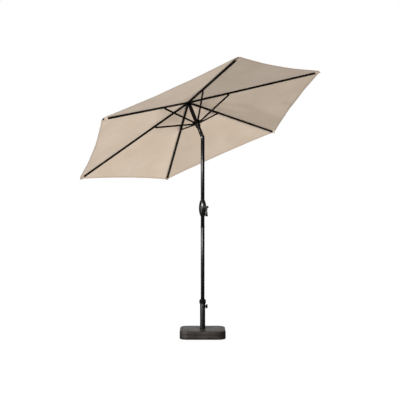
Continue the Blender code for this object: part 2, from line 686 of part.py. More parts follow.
def make_mast(mast):
    tube = turned(
        "upper_pole",
        tube_profile(POLE_RADIUS, POLE_BORE, KNUCKLE_BODY + GAP, HUB_LOW - GAP),
        POLE_PAINT,
        mast,
    )
    trunnion = 0.0025
    far = 2 * POLE_RADIUS
    tool(tube, rod(trunnion + RUNNING, (0, -far, PULLEY_HEIGHT), (0, far, PULLEY_HEIGHT), 12))
    pulley = frame("pulley_axis", mast, (0, 0, PULLEY_HEIGHT))
    half, end = PULLEY_THICKNESS / 2, POLE_RADIUS - GAP
    turned(
        "cord_pulley",
        [
            (0, end),
            (trunnion, end),
            (trunnion, half),
            (PULLEY_RADIUS, half),
            (PULLEY_RADIUS - 0.003, 0),
            (PULLEY_RADIUS, -half),
            (trunnion, -half),
            (trunnion, -end),
            (0, -end),
        ],
        NYLON,
        pulley,
        closed=False,
        axis=Y_AXIS,
    )

    top, wide = HUB_RING_HEIGHT + HUB_HALF_HEIGHT - 0.002, HUB_RADIUS
    finial_stud, stud_low = 0.0037, HUB_RING_HEIGHT
    hub = turned(
        "top_hub",
        [
            (0, top),
            (wide - 0.002, top),
            (wide, top - 0.002),
            (wide, HUB_LOW + 0.002),
            (wide - 0.002, HUB_LOW),
            (SPIGOT_RADIUS, HUB_LOW),
            (SPIGOT_RADIUS, HUB_LOW - HUB_SPIGOT),
            (0, HUB_LOW - HUB_SPIGOT),
        ],
        BLACK_PLASTIC,
        mast,
        closed=False,
        steps=26,
    )
    spoke_slots(hub, RIB_WIDTH + 2 * GAP, HUB_PIVOT - 0.0125, 2 * wide, HUB_LOW - 0.001, top + 0.01)
    tunnel = ring_wire(HUB_PIVOT, WIRE_TUNNEL)
    tunnel.transform(Matrix.Translation((0, 0, HUB_RING_HEIGHT)))
    tool(hub, tunnel)
    tool(hub, rod(finial_stud + GAP, (0, 0, stud_low - GAP), (0, 0, 2 * APEX_HEIGHT), 12))
    wire = ring_wire(HUB_PIVOT, WIRE_RADIUS)
    wire.transform(Matrix.Translation((0, 0, HUB_RING_HEIGHT)))
    piece("hub_ring", wire, STEEL, mast)

    seat = FABRIC_SEAT + FABRIC_THICKNESS + 0.006
    ball, crest = FINIAL_RADIUS * 0.85, seat + FINIAL_HEIGHT
    centre = crest - ball
    arc = [math.radians(90 - 22.5 * i) for i in range(7)]
    round_top = [(ball * math.cos(a), centre + ball * math.sin(a)) for a in arc]
    turned(
        "finial",
        [
            (0, crest),
            *round_top[1:],
            (0.008, seat + 0.008),
            (FINIAL_RADIUS, seat + 0.003),
            (FINIAL_RADIUS, seat),
            (finial_stud, seat),
            (finial_stud, stud_low),
            (0, stud_low),
        ],
        BLACK_PLASTIC,
        mast,
        closed=False,
    )


def make_runner(mast):
    """The sliding hub that the struts push on, with the wire ring that they turn on."""
    runner_frame = frame("runner_axis", mast, (0, 0, RUNNER_HEIGHT))
    bore, wide = POLE_RADIUS + RUNNING, RUNNER_RADIUS
    lip, sleeve = bore + RUNNER_WALL, bore + RUNNER_WALL + 0.0015
    runner = turned(
        "runner",
        [
            (bore, RUNNER_CREST),
            (lip, RUNNER_CREST),
            (sleeve, RUNNER_FLANGE_TOP + 0.002),
            (wide - 0.002, RUNNER_FLANGE_TOP),
            (wide, RUNNER_FLANGE_TOP - 0.002),
            (wide, 0.002 - RUNNER_FLANGE_LOW),
            (wide - 0.002, -RUNNER_FLANGE_LOW),
            (sleeve + 0.002, -RUNNER_FLANGE_LOW - 0.002),
            (sleeve, -RUNNER_SKIRT),
            (bore, -RUNNER_SKIRT),
        ],
        BLACK_PLASTIC,
        runner_frame,
        steps=26,
    )
    slot_reach = 2 * RUNNER_FLANGE_LOW
    spoke_slots(runner, STRUT_WIDTH + 2 * GAP, RUNNER_PIVOT - 0.0115, 2 * wide, -slot_reach, slot_reach)
    tool(runner, ring_wire(RUNNER_PIVOT, WIRE_TUNNEL))
    piece("runner_ring", ring_wire(RUNNER_PIVOT, WIRE_RADIUS), STEEL, runner_frame)


# Ribs, struts and canopy


def box_tube(width, height, start, end):
    """An open square tube along X."""
    half = Vector((width / 2, height / 2))
    inner = half - Vector((TUBE_WALL, TUBE_WALL))
    outer = block((start, -half.x, -half.y), (end, half.x, half.y))
    tube = piece("tube", outer, FRAME_PAINT, smooth=False)
    tool(tube, block((start - 0.01, -inner.x, -inner.y), (end + 0.01, inner.x, inner.y)))
    return tube


def rib_mesh():
    tube_end = RIB_LENGTH - CAP_LENGTH
    rib = box_tube(RIB_WIDTH, RIB_HEIGHT, -0.007, tube_end)
    wire_hole = WIRE_RADIUS + 0.0012
    tool(rib, rod(wire_hole, (0, -RIB_WIDTH, 0), (0, RIB_WIDTH, 0), 8))
    foot = -RIB_HEIGHT / 2 + TUBE_WALL / 2
    lug = block(
        (STRUT_JOINT - 0.011, -LUG_HALF, -LUG_DROP - 0.006),
        (STRUT_JOINT + 0.011, LUG_HALF, foot),
        0.004,
        lambda e: abs(e.verts[0].co.y - e.verts[1].co.y) > LUG_HALF and e.verts[0].co.z < -LUG_DROP,
    )
    tool(rib, lug, "UNION")
    pin_half = STRUT_WIDTH / 2 + 0.0007
    pin = rod(LUG_PIN_RADIUS, (STRUT_JOINT, -pin_half, -LUG_DROP), (STRUT_JOINT, pin_half, -LUG_DROP), 8)
    tool(rib, pin, "UNION")
    return settled_mesh(rib)


def strut_mesh(length):
    """A strut from its pin on the rib, at the origin, to the runner's ring at +X."""
    overrun = 0.006
    strut = box_tube(STRUT_WIDTH, STRUT_HEIGHT, -overrun, length + overrun)
    fork_half = STRUT_WIDTH / 2 - TUBE_WALL
    tool(strut, block((-0.02, -fork_half, -0.02), (0.028, fork_half, 0.02)))
    tool(strut, rod(LUG_PIN_RADIUS + RUNNING, (0, -STRUT_WIDTH, 0), (0, STRUT_WIDTH, 0), 8))
    ring_hole = WIRE_RADIUS + 0.0024
    tool(strut, rod(ring_hole, (length, -STRUT_WIDTH, 0), (length, STRUT_WIDTH, 0), 8))
    return settled_mesh(strut)


def cap_mesh():
    start = RIB_LENGTH - CAP_LENGTH + GAP
    half_width, half_height = RIB_WIDTH / 2, RIB_HEIGHT / 2
    body = block((start, -half_width, -half_height), (RIB_LENGTH, half_width, half_height), 0.0015)
    cap = piece("cap", body, BLACK_PLASTIC, smooth=False)
    slack = TUBE_WALL + RUNNING
    plug = block(
        (start - CAP_PLUG, slack - half_width, slack - half_height),
        (start + 0.003, half_width - slack, half_height - slack),
    )
    tool(cap, plug, "UNION")
    button_at = RIB_LENGTH + CAP_NECK_LENGTH
    button_end = button_at + CAP_BUTTON_LENGTH
    tool(cap, rod(CAP_NECK_RADIUS, (RIB_LENGTH - 0.003, 0, 0), (button_at + 0.001, 0, 0), 12), "UNION")
    tool(cap, rod(CAP_BUTTON_RADIUS, (button_at, 0, 0), (button_end, 0, 0), 16), "UNION")
    return settled_mesh(cap)


def canopy_half(side):
    """One side of a canopy section, from the ridge over its rib to the middle of the panel beside it."""
    half_step = FOLD_STEP / 2
    middle = Vector((math.cos(half_step), side * math.sin(half_step), 0))
    edge = Vector((math.sin(half_step), -side * math.cos(half_step), 0))
    seam = edge * GAP / 2
    corner = RIM_RADIUS + FABRIC_OVERHANG + CORNER_CUT * math.sin(half_step)
    reach, span = corner * math.cos(half_step), corner * math.sin(half_step)
    inner = Vector((CROWN_HOLE, 0, 0))
    outline = [inner, middle * CROWN_HOLE + seam]
    for i in range(EDGE_STEPS + 1):
        along = (span - CORNER_CUT) * i / EDGE_STEPS
        bow = EDGE_SCALLOP * (1 - (along / (span - CORNER_CUT)) ** 2)
        outline.append(middle * (reach - bow) + edge * along + (seam if i == 0 else Vector()))
    outline.append(Vector((outline[-1].x, 0, 0)))
    slope = RIM_DROP / RIM_RADIUS / math.cos(half_step)
    return [p + Z_AXIS * (FABRIC_SEAT - slope * p.dot(middle)) for p in outline]


def canopy_mesh(rib_place):
    """A section of the canopy over one rib, in the rib's frame."""
    bm = bmesh.new()
    for side in (1, -1):
        points = canopy_half(side)
        bm.faces.new([bm.verts.new(p) for p in (reversed(points) if side > 0 else points)])
    bmesh.ops.remove_doubles(bm, verts=bm.verts, dist=GAP / 10)
    for face in bm.faces:
        if face.normal.z < 0:
            face.normal_flip()
    mesh = bpy.data.meshes.new("canopy_section")
    bm.to_mesh(mesh)
    bm.free()
    mesh.transform(rib_place.inverted())
    section = piece("section", mesh, FABRIC, smooth=False)
    shell = section.modifiers.new("thickness", "SOLIDIFY")
    shell.thickness, shell.offset = FABRIC_THICKNESS, 1.0
    return settled_mesh(section)


def make_canopy_frame(mast):
    pitch = Matrix.Rotation(RIB_PITCH, 4, "Y")
    rib_place = Matrix.Translation((HUB_PIVOT, 0, HUB_RING_HEIGHT)) @ pitch
    lug = rib_place @ Vector((STRUT_JOINT, 0, -LUG_DROP))
    ring = Vector((RUNNER_PIVOT, 0, RUNNER_HEIGHT))
    run = ring - lug
    strut_turn = math.atan2(-run.z, run.x) - RIB_PITCH
    rib, strut = rib_mesh(), strut_mesh(run.length)
    cap, section = cap_mesh(), canopy_mesh(rib_place)
    for i in range(RIB_COUNT):
        azimuth, label = FIRST_RIB + i * FOLD_STEP, i + 1
        spoke = frame(f"spoke_{label}", mast, turn=(0, 0, azimuth))
        at = frame(f"rib_axis_{label}", spoke, (HUB_PIVOT, 0, HUB_RING_HEIGHT), (0, RIB_PITCH, 0))
        piece(f"rib_{label}", rib, FRAME_PAINT, at, smooth=False)
        piece(f"rib_cap_{label}", cap, BLACK_PLASTIC, at, smooth=False)
        piece(f"canopy_section_{label}", section, FABRIC, at, smooth=False)
        hinge = frame(f"strut_axis_{label}", at, (STRUT_JOINT, 0, -LUG_DROP), (0, strut_turn, 0))
        piece(f"strut_{label}", strut, FRAME_PAINT, hinge, smooth=False)


clear_scene()
PARTS = collection("patio_umbrella")
CUTTERS = collection("cutters")
RUBBER = paint("rubber", (0.015, 0.015, 0.015), 0.85)
CAST_IRON = paint("cast_iron", (0.05, 0.05, 0.05), 0.7, 1.0)
BASE_PLASTIC = paint("base_plastic", (0.045, 0.040, 0.037), 0.4)
POLE_PAINT = paint("pole_paint", (0.020, 0.017, 0.015), 0.3, 0.6)
FRAME_PAINT = paint("frame_paint", (0.025, 0.020, 0.017), 0.4, 0.5)
KNUCKLE_METAL = paint("knuckle_metal", (0.020, 0.017, 0.015), 0.35, 0.7)
BLACK_PLASTIC = paint("black_plastic", (0.015, 0.014, 0.013), 0.45)
GRIP_PLASTIC = paint("grip_plastic", (0.060, 0.050, 0.045), 0.5)
STEEL = paint("steel", (0.55, 0.55, 0.55), 0.3, 1.0)
NYLON = paint("nylon", (0.70, 0.69, 0.66), 0.5)
FABRIC = paint("canopy_fabric", (0.58, 0.47, 0.36), 0.9)

make_base()
make_clamp()
POLE = frame("pole_axis", turn=(0, 0, TILT_AZIMUTH))
MAST = frame("tilt_axis", POLE, (0, 0, PIVOT_HEIGHT), (0, TILT, 0))
make_pole(POLE)
make_housing(POLE)
make_crank(POLE)
make_tilt_joint(POLE, MAST)
make_mast(MAST)
make_runner(MAST)
make_canopy_frame(MAST)
bpy.context.view_layer.update()
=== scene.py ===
"""The looks of a crank and tilt patio umbrella in its weighted base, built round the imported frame.

Metres, +Z up. Pieces of the canopy are drawn in a spoke's own frame and then put in their place: origin on
the tilt pivot, +X out over the rib, +Y along the rib's hinge and +Z up the tilted pole.
"""

import json
import math

import bpy
from mathutils import Matrix, Vector

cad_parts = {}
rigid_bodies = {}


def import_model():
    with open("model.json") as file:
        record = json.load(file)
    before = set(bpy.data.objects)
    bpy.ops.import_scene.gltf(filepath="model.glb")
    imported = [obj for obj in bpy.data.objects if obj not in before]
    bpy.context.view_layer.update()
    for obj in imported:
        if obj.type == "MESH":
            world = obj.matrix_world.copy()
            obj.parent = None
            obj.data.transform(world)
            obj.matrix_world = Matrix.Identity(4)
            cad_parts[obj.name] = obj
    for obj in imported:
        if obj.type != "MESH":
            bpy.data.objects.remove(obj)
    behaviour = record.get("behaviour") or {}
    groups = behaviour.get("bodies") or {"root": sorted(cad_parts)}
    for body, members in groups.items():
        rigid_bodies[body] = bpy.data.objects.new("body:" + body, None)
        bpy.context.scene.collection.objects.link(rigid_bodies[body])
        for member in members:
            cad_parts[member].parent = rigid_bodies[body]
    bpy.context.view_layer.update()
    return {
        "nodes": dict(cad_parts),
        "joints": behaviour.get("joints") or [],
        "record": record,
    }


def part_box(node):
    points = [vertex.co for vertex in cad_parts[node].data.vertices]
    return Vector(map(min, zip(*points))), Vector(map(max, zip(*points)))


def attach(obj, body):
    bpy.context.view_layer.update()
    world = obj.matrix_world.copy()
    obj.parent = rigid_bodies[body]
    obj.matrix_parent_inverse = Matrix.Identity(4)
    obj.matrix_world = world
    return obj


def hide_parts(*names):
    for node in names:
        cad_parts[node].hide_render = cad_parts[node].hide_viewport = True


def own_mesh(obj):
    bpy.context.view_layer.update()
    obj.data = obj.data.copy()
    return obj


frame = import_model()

# The canopy, heights measured up the tilted pole from the tilt pivot
SPOKES = 6
HALF_STEP = math.pi / SPOKES
RIM_RADIUS = 1.300
RIM_DROP = 0.274
APEX_HEIGHT = 0.398
FABRIC_LIFT = 0.0105
FABRIC_OVERHANG = 0.004
CORNER_CUT = 0.025
EDGE_SCALLOP = 0.035
CLOTH_THICKNESS = 0.0008
CROWN_HOLE = 0.016
PANEL_SAG = 0.016
PUCKER = 0.0022
HEM_WIDTH = 0.024
HEM_PROUD = 0.0007
SEAM_HALF_WIDTH = 0.007
TRIM_THICKNESS = 0.0008
POCKET_LENGTH = 0.042
POCKET_HALF_WIDTH = 0.021
POCKET_DEPTH = 0.0225
POCKET_THICKNESS = 0.0009
POCKET_BELOW_CLOTH = 0.0012
CROWN_PATCH_RADIUS = 0.062
CROWN_PATCH_HOLE = 0.006
CROWN_PATCH_DOME = 0.0035
CROWN_PATCH_GAP = 0.0004
CLOTH_ACROSS, CLOTH_ALONG = 44, 52

# Small fittings
STRUT_PIN_HALF = 0.0067
RIVET_RADIUS = 0.0042
RIVET_HEIGHT = 0.0018
GRIP_CAP_WALL = 0.0008
GRIP_CAP_DEPTH = 0.017
GRIP_CAP_ROOM = 0.0002

# The base
BASE_SIDE = 0.450
BASE_CORNER = 0.080
BASE_TOP = 0.078
BASE_FOOT = 0.0043
BASE_EDGE_ROUND = 0.013
COVER_WALL = 0.0035
PANEL_INSET = 0.024
PANEL_STEP = 0.0036
PARTING_HEIGHT = 0.043
PARTING_WIDTH = 0.005
PARTING_DEPTH = 0.0035
STEM_HOLE = 0.0278
COVER_HOLE_ROOM = 0.0003
PANEL_HOLE_LESS = 0.0005
SAME_LEVEL = 0.0001

# Rounded edges: the bevel's width, and the sharpest angle it leaves alone
MOULDED_EDGE, MOULDED_ANGLE = 0.0009, 40
FRAME_EDGE, FRAME_ANGLE = 0.0004, 38

# Camera, and the strengths of the white studio as it is seen and as it lights the object
EYE = Vector((-0.026, -9.0, 1.353))
LENS = 81.7
FLOOR_SEEN, FLOOR_LIT = 0.98, 0.12
WORLD_SEEN, WORLD_LIT = 1.0, 0.13

MILLIMETRE = 0.001
JOINTS = {joint["name"]: joint for joint in frame["joints"]}
TILT_AT = Vector(JOINTS["tilt"]["pos_m"])
MAST_UP = -Vector(JOINTS["runner_slide"]["axis"])
SEAT = APEX_HEIGHT + FABRIC_LIFT
PANEL_SLOPE = RIM_DROP / RIM_RADIUS / math.cos(HALF_STEP)
CORNER_RADIUS = RIM_RADIUS + FABRIC_OVERHANG + CORNER_CUT * math.sin(HALF_STEP)
CORNER_REACH = RIM_RADIUS + FABRIC_OVERHANG

bpy.ops.object.select_all(action="DESELECT")


# Materials


def linear(code):
    """An sRGB hex colour as linear RGBA."""
    channels = [int(code[i : i + 2], 16) / 255 for i in (1, 3, 5)]
    return (*[c / 12.92 if c <= 0.04045 else ((c + 0.055) / 1.055) ** 2.4 for c in channels], 1.0)


def add(tree, kind, inputs=None, **settings):
    """Adds a node with its settings, and its inputs' values or links."""
    made = tree.nodes.new(kind)
    for name, value in settings.items():
        setattr(made, name, value)
    for name, value in (inputs or {}).items():
        if isinstance(value, bpy.types.NodeSocket):
            tree.links.new(value, made.inputs[name])
        else:
            made.inputs[name].default_value = value
    return made


def new_material(name, roughness, metallic=0.0, ior=1.5, specular=0.5):
    made = bpy.data.materials.new(name)
    made.use_nodes = True
    tree = made.node_tree
    shader = tree.nodes["Principled BSDF"]
    shader.inputs["Roughness"].default_value = roughness
    shader.inputs["Metallic"].default_value = metallic
    shader.inputs["IOR"].default_value = ior
    shader.inputs["Specular IOR Level"].default_value = specular
    return made, tree, shader


def blended(tree, factor, under, over):
    """One colour over another by a factor."""
    mixed = add(tree, "ShaderNodeMix", data_type="RGBA")
    tree.links.new(factor, mixed.inputs["Factor"])
    for socket, value in zip([s for s in mixed.inputs if s.type == "RGBA"], (under, over)):
        if isinstance(value, str):
            socket.default_value = linear(value)
        else:
            tree.links.new(value, socket)
    return [s for s in mixed.outputs if s.type == "RGBA"][0]


def mottled(tree, where, dark, light, size):
    """Two shades of a colour in soft patches of a size in metres."""
    cloud = add(tree, "ShaderNodeTexNoise", {"Vector": where, "Scale": 1 / size, "Detail": 4.0})
    spread = {"Value": cloud.outputs["Fac"], "From Min": 0.35, "From Max": 0.65}
    amount = add(tree, "ShaderNodeMapRange", spread)
    return blended(tree, amount.outputs["Result"], dark, light)


def varied_roughness(tree, shader, where, size, low, high):
    """Roughness that drifts between two values in patches of a size in metres."""
    cloud = add(tree, "ShaderNodeTexNoise", {"Vector": where, "Scale": 1 / size, "Detail": 3.0})
    level = add(tree, "ShaderNodeMapRange", {"Value": cloud.outputs["Fac"], "To Min": low, "To Max": high})
    tree.links.new(level.outputs["Result"], shader.inputs["Roughness"])


def grained(tree, shader, where, size, height, strength=0.6):
    """A fine surface grain of a size and height in metres."""
    grain = add(tree, "ShaderNodeTexNoise", {"Vector": where, "Scale": 1 / size, "Detail": 2.0})
    bump = add(
        tree, "ShaderNodeBump", {"Height": grain.outputs["Fac"], "Distance": height, "Strength": strength}
    )
    tree.links.new(bump.outputs["Normal"], shader.inputs["Normal"])


def coat(
    name, colours, scuff, roughness, grain_mm, height_mm, metallic=0.0, specular=0.5, wear=0.5, grain=0.3
):
    """A coated or moulded surface: two near shades, a few paler rubbed patches and a fine grain."""
    made, tree, shader = new_material(name, roughness, metallic, specular=specular)
    where = add(tree, "ShaderNodeTexCoord").outputs["Object"]
    shade = mottled(tree, where, *colours, 0.06)
    rub = add(
        tree, "ShaderNodeTexNoise", {"Vector": where, "Scale": 1 / 0.018, "Detail": 6.0, "Roughness": 0.7}
    )
    patch = add(
        tree,
        "ShaderNodeMapRange",
        {"Value": rub.outputs["Fac"], "From Min": 0.60, "From Max": 0.78, "To Max": wear},
    )
    tree.links.new(blended(tree, patch.outputs["Result"], shade, scuff), shader.inputs["Base Color"])
    varied_roughness(tree, shader, where, 0.03, roughness - 0.03, roughness + 0.04)
    grained(tree, shader, where, grain_mm * MILLIMETRE, height_mm * MILLIMETRE, grain)
    return made


def stitch_rows(tree, along, across, rows, pitch, half_width):
    """1 on the dashes of rows of stitches. Rows are distances across, pitch is a stitch and its gap."""
    beat = add(tree, "ShaderNodeMath", {0: along, 1: pitch}, operation="DIVIDE").outputs[0]
    beat = add(tree, "ShaderNodeMath", {0: beat}, operation="FRACT").outputs[0]
    dash = add(tree, "ShaderNodeMath", {0: beat, 1: 0.72}, operation="LESS_THAN").outputs[0]
    total = None
    for row in rows:
        off = add(tree, "ShaderNodeMath", {0: across, 1: row}, operation="SUBTRACT").outputs[0]
        off = add(tree, "ShaderNodeMath", {0: off}, operation="ABSOLUTE").outputs[0]
        on_row = add(tree, "ShaderNodeMath", {0: off, 1: half_width}, operation="LESS_THAN").outputs[0]
        if total is None:
            total = on_row
        else:
            total = add(tree, "ShaderNodeMath", {0: total, 1: on_row}, operation="MAXIMUM").outputs[0]
    return add(tree, "ShaderNodeMath", {0: total, 1: dash}, operation="MULTIPLY").outputs[0]


def woven(name, dark, light, thread, rows=(), roughness=0.85):
    """Plain woven polyester. Its threads are 0.5 mm apart, and drawn 4 mm apart so that they show."""
    made, tree, shader = new_material(name, roughness, ior=1.45, specular=0.25)
    shader.inputs["Sheen Weight"].default_value = 0.15
    shader.inputs["Sheen Roughness"].default_value = 0.5
    place = add(tree, "ShaderNodeUVMap", uv_map="UVMap").outputs["UV"]
    parts = add(tree, "ShaderNodeSeparateXYZ", {"Vector": place})
    across, along = parts.outputs["X"], parts.outputs["Y"]
    spacing = 4 * MILLIMETRE
    height = None
    for direction in ("X", "Y"):
        wave = add(
            tree,
            "ShaderNodeTexWave",
            {"Vector": place, "Scale": 0.314 / spacing, "Distortion": 0.4, "Detail": 1.0},
            bands_direction=direction,
        )
        thread_height = wave.outputs["Fac"]
        if height is None:
            height = thread_height
        else:
            crossed = add(tree, "ShaderNodeMath", {0: height, 1: thread_height}, operation="MULTIPLY")
            height = crossed.outputs[0]
    cloud = mottled(tree, place, dark, light, 0.35)
    slub = add(tree, "ShaderNodeMapRange", {"Value": height, "To Max": 0.16})
    colour = blended(tree, slub.outputs["Result"], cloud, dark)
    relief = height
    if rows:
        stitches = stitch_rows(tree, across, along, rows, 8 * MILLIMETRE, 0.9 * MILLIMETRE)
        colour = blended(tree, stitches, colour, thread)
        relief = add(tree, "ShaderNodeMath", {0: height, 1: stitches}, operation="ADD").outputs[0]
    tree.links.new(colour, shader.inputs["Base Color"])
    bump = add(tree, "ShaderNodeBump", {"Height": relief, "Distance": 0.0004, "Strength": 0.35})
    tree.links.new(bump.outputs["Normal"], shader.inputs["Normal"])
    return made


def brushed_zinc():
    """Zinc plated steel: bright, slightly blue grey, with fine drawn lines."""
    made, tree, shader = new_material("zinc_plated_steel", 0.34, metallic=1.0)
    where = add(tree, "ShaderNodeTexCoord").outputs["Object"]
    stretched = add(tree, "ShaderNodeMapping", {"Vector": where, "Scale": (1.0, 1.0, 12.0)}).outputs["Vector"]
    shade = mottled(tree, stretched, "#8d8f91", "#b5b6b6", 0.004)
    tree.links.new(shade, shader.inputs["Base Color"])
    varied_roughness(tree, shader, where, 0.005, 0.26, 0.44)
    grained(tree, shader, stretched, 0.0006, 0.00005)
    return made


# Powder coated steel tube: near black brown, satin, with the fine orange peel of a baked coat
POLE_COAT = coat(
    "bronze_powder_coat",
    ("#050404", "#070605"),
    "#0b0a09",
    0.24,
    0.8,
    0.01,
    specular=0.25,
    wear=0.2,
    grain=0.04,
)
# Ribs and struts: the same coat, a little duller
FRAME_COAT = coat(
    "frame_powder_coat",
    ("#080605", "#0c0908"),
    "#15110f",
    0.42,
    0.8,
    0.02,
    specular=0.1,
    wear=0.3,
    grain=0.1,
)
# Die-cast aluminium, painted black: slightly pebbled
CAST_BLACK = coat(
    "painted_die_casting", ("#070606", "#0a0909"), "#1c1a18", 0.34, 1.2, 0.04, specular=0.2, wear=0.3
)
# Moulded glass filled nylon: deep black with a spark eroded texture
BLACK_NYLON = coat(
    "moulded_black_nylon", ("#060606", "#090808"), "#171615", 0.34, 0.7, 0.02, specular=0.2, wear=0.3
)
# Crank housing: the same nylon from a polished mould, so it is glossy
HOUSING_NYLON = coat(
    "polished_black_nylon",
    ("#060606", "#080707"),
    "#131211",
    0.24,
    1.5,
    0.01,
    specular=0.4,
    wear=0.2,
    grain=0.1,
)
# Crank grip: paler brown grey polypropylene, polished by hands
GRIP_PLASTIC = coat("moulded_grip", ("#2e2926", "#3a3431"), "#4f4843", 0.42, 0.9, 0.03, specular=0.3)
# Base cover: blow moulded HDPE, dark brown grey, dusty, with a leather-like grain
BASE_PLASTIC = coat("moulded_base", ("#211d1a", "#352f2b"), "#5a5149", 0.46, 2.2, 0.12, specular=0.3)
# Ballast and its pad are only seen from below
BALLAST_IRON = coat("painted_cast_iron", ("#0f0e0e", "#161514"), "#2b2826", 0.65, 3.0, 0.3, metallic=0.6)
PAD_RUBBER = coat(
    "moulded_rubber", ("#050505", "#080808"), "#101010", 0.85, 1.5, 0.1, specular=0.05, wear=0.2
)
WHITE_NYLON = coat("natural_nylon", ("#c9c5ba", "#d8d4ca"), "#b5b0a4", 0.45, 0.7, 0.02)
ZINC_STEEL = brushed_zinc()
# Canopy: plain woven polyester, beige, with rows of paler thread along hems and seams
CANOPY_CLOTH = woven("canopy_polyester", "#d3bfaa", "#dbc9b5", "#e8dccb")
HEM_CLOTH = woven(
    "hem_polyester", "#c2ae99", "#cbb8a3", "#e6d9c8", rows=(0.004, HEM_WIDTH - 0.004), roughness=0.88
)
SEAM_CLOTH = woven("seam_polyester", "#c4b09b", "#cdbaa5", "#e6d9c8", rows=(-0.005, 0.005), roughness=0.88)
PATCH_CLOTH = woven("patch_polyester", "#c8b49f", "#d0bda8", "#e6d9c8", roughness=0.88)


# Helpers for the pieces


def put(piece, body, slot, material):
    """Gives a finished piece its material and the body it moves with. Its slot argument is not used."""
    piece.data.materials.clear()
    piece.data.materials.append(material)
    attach(piece, body)


def active_only(piece):
    bpy.ops.object.select_all(action="DESELECT")
    piece.select_set(True)
    bpy.context.view_layer.objects.active = piece


def apply_modifiers(piece):
    active_only(piece)
    for modifier in list(piece.modifiers):
        bpy.ops.object.modifier_apply(modifier=modifier.name)


def smooth(piece, degrees=35):
    active_only(piece)
    bpy.ops.object.shade_smooth_by_angle(angle=math.radians(degrees))


def select_in_mesh(piece, kind, test):
    """Selects only the vertices, edges or faces of a mesh, in edit mode, that pass a test."""
    active_only(piece)
    bpy.ops.object.mode_set(mode="EDIT")
    bpy.ops.mesh.select_mode(type={"vertices": "VERT", "edges": "EDGE", "polygons": "FACE"}[kind])
    bpy.ops.mesh.select_all(action="DESELECT")
    bpy.ops.object.mode_set(mode="OBJECT")
    for item in getattr(piece.data, kind):
        item.select = bool(test(item))
    bpy.ops.object.mode_set(mode="EDIT")


def end_edit():
    bpy.ops.object.mode_set(mode="OBJECT")


def round_edges(piece, width, segments, degrees):
    """Bevels the edges that are sharper than an angle."""
    rounding = piece.modifiers.new("edges", "BEVEL")
    rounding.width, rounding.segments, rounding.limit_method = width, segments, "ANGLE"
    rounding.angle_limit = math.radians(degrees)
    apply_modifiers(piece)


def grid_piece(name, across, along, place, uv, thickness):
    """A cloth piece from a grid. place gives a point and uv its place on the cloth, for -1 to 1 each way."""
    bpy.ops.mesh.primitive_grid_add(x_subdivisions=across, y_subdivisions=along, size=2)
    piece = bpy.context.object
    piece.name = piece.data.name = name
    spots = [(v.co.x, v.co.y) for v in piece.data.vertices]
    layer = piece.data.uv_layers[0]
    layer.name = "UVMap"
    for loop in piece.data.loops:
        layer.data[loop.index].uv = uv(*spots[loop.vertex_index])
    for vertex, spot in zip(piece.data.vertices, spots):
        vertex.co = place(*spot)
    piece.data.update()
    piece["flat_area"] = sum(face.area for face in piece.data.polygons)
    shell = piece.modifiers.new("thickness", "SOLIDIFY")
    shell.thickness, shell.offset = thickness, 1.0
    apply_modifiers(piece)
    smooth(piece, 50)
    return piece


# The canopy


def spoke_place(number):
    """Takes a spoke's own frame to its place."""
    hinge = Vector(JOINTS[f"rib_{number}_fold"]["axis"])
    out = hinge.cross(MAST_UP)
    turned = Matrix((out, hinge, MAST_UP)).transposed().to_4x4()
    return Matrix.Translation(TILT_AT) @ turned


def rim_distance(turn):
    """How far out the cloth reaches at an angle from its rib: a hollow edge and a blunt corner."""
    off_middle = HALF_STEP - abs(turn)
    reach = CORNER_RADIUS * math.cos(HALF_STEP)
    straight = CORNER_RADIUS * math.sin(HALF_STEP) - CORNER_CUT
    distance = reach / math.cos(off_middle)
    for _ in range(6):
        share = min(1.0, distance * math.sin(off_middle) / straight)
        distance = (reach - EDGE_SCALLOP * (1 - share**2)) / math.cos(off_middle)
    return min(distance, CORNER_REACH / math.cos(turn))


def cloth_height(radius, turn, number=0):
    """Height of the cloth over a point. It sags between its ribs and puckers a little near its corners."""
    off_middle = HALF_STEP - abs(turn)
    height = SEAT - PANEL_SLOPE * radius * math.cos(off_middle)
    across = off_middle / HALF_STEP
    out = radius / RIM_RADIUS
    slack = 1 - across**2
    height -= PANEL_SAG * slack * out * (1.7 - 1.1 * out)  # deepest three quarters of the way out
    side = 1 if turn > 0 else -1
    panel = (number if side > 0 else number - 1) % SPOKES
    signed = side * across
    wave = math.sin(9.0 * signed + 2.1 * panel + 5.0 * out) * math.sin(7.0 * out + 1.3 * panel)
    height += PUCKER * slack * wave * out
    return height


def on_cloth(radius, turn, number, lift=0.0):
    height = cloth_height(radius, turn, number) + lift
    return Vector((radius * math.cos(turn), radius * math.sin(turn), height))


def spread_turn(share):
    """Columns crowd towards the rib, where the cloth bends most."""
    return -math.copysign(HALF_STEP * abs(share) ** 1.35, share)


def canopy_cloth(number):
    def spot(across, along):
        turn = spread_turn(across)
        outward = (along + 1) / 2
        return CROWN_HOLE + (rim_distance(turn) - CROWN_HOLE) * outward, turn

    def place(across, along):
        return on_cloth(*spot(across, along), number)

    def uv(across, along):
        radius, turn = spot(across, along)
        return radius * math.sin(turn), radius * math.cos(turn)

    return grid_piece(f"canopy_cloth_{number}", CLOTH_ACROSS, CLOTH_ALONG, place, uv, CLOTH_THICKNESS)


def canopy_hem(number):
    """The edge of the cloth, folded over twice, which stands a little proud on both sides."""

    def inward(along):
        return HEM_WIDTH * (1 - along) / 2 - HEM_PROUD

    def place(across, along):
        turn = spread_turn(across)
        return on_cloth(rim_distance(turn) - inward(along), turn, number, -HEM_PROUD)

    def uv(across, along):
        turn = spread_turn(across)
        return rim_distance(turn) * turn, inward(along)

    return grid_piece(f"canopy_hem_{number}", CLOTH_ACROSS, 3, place, uv, CLOTH_THICKNESS + 2 * HEM_PROUD)


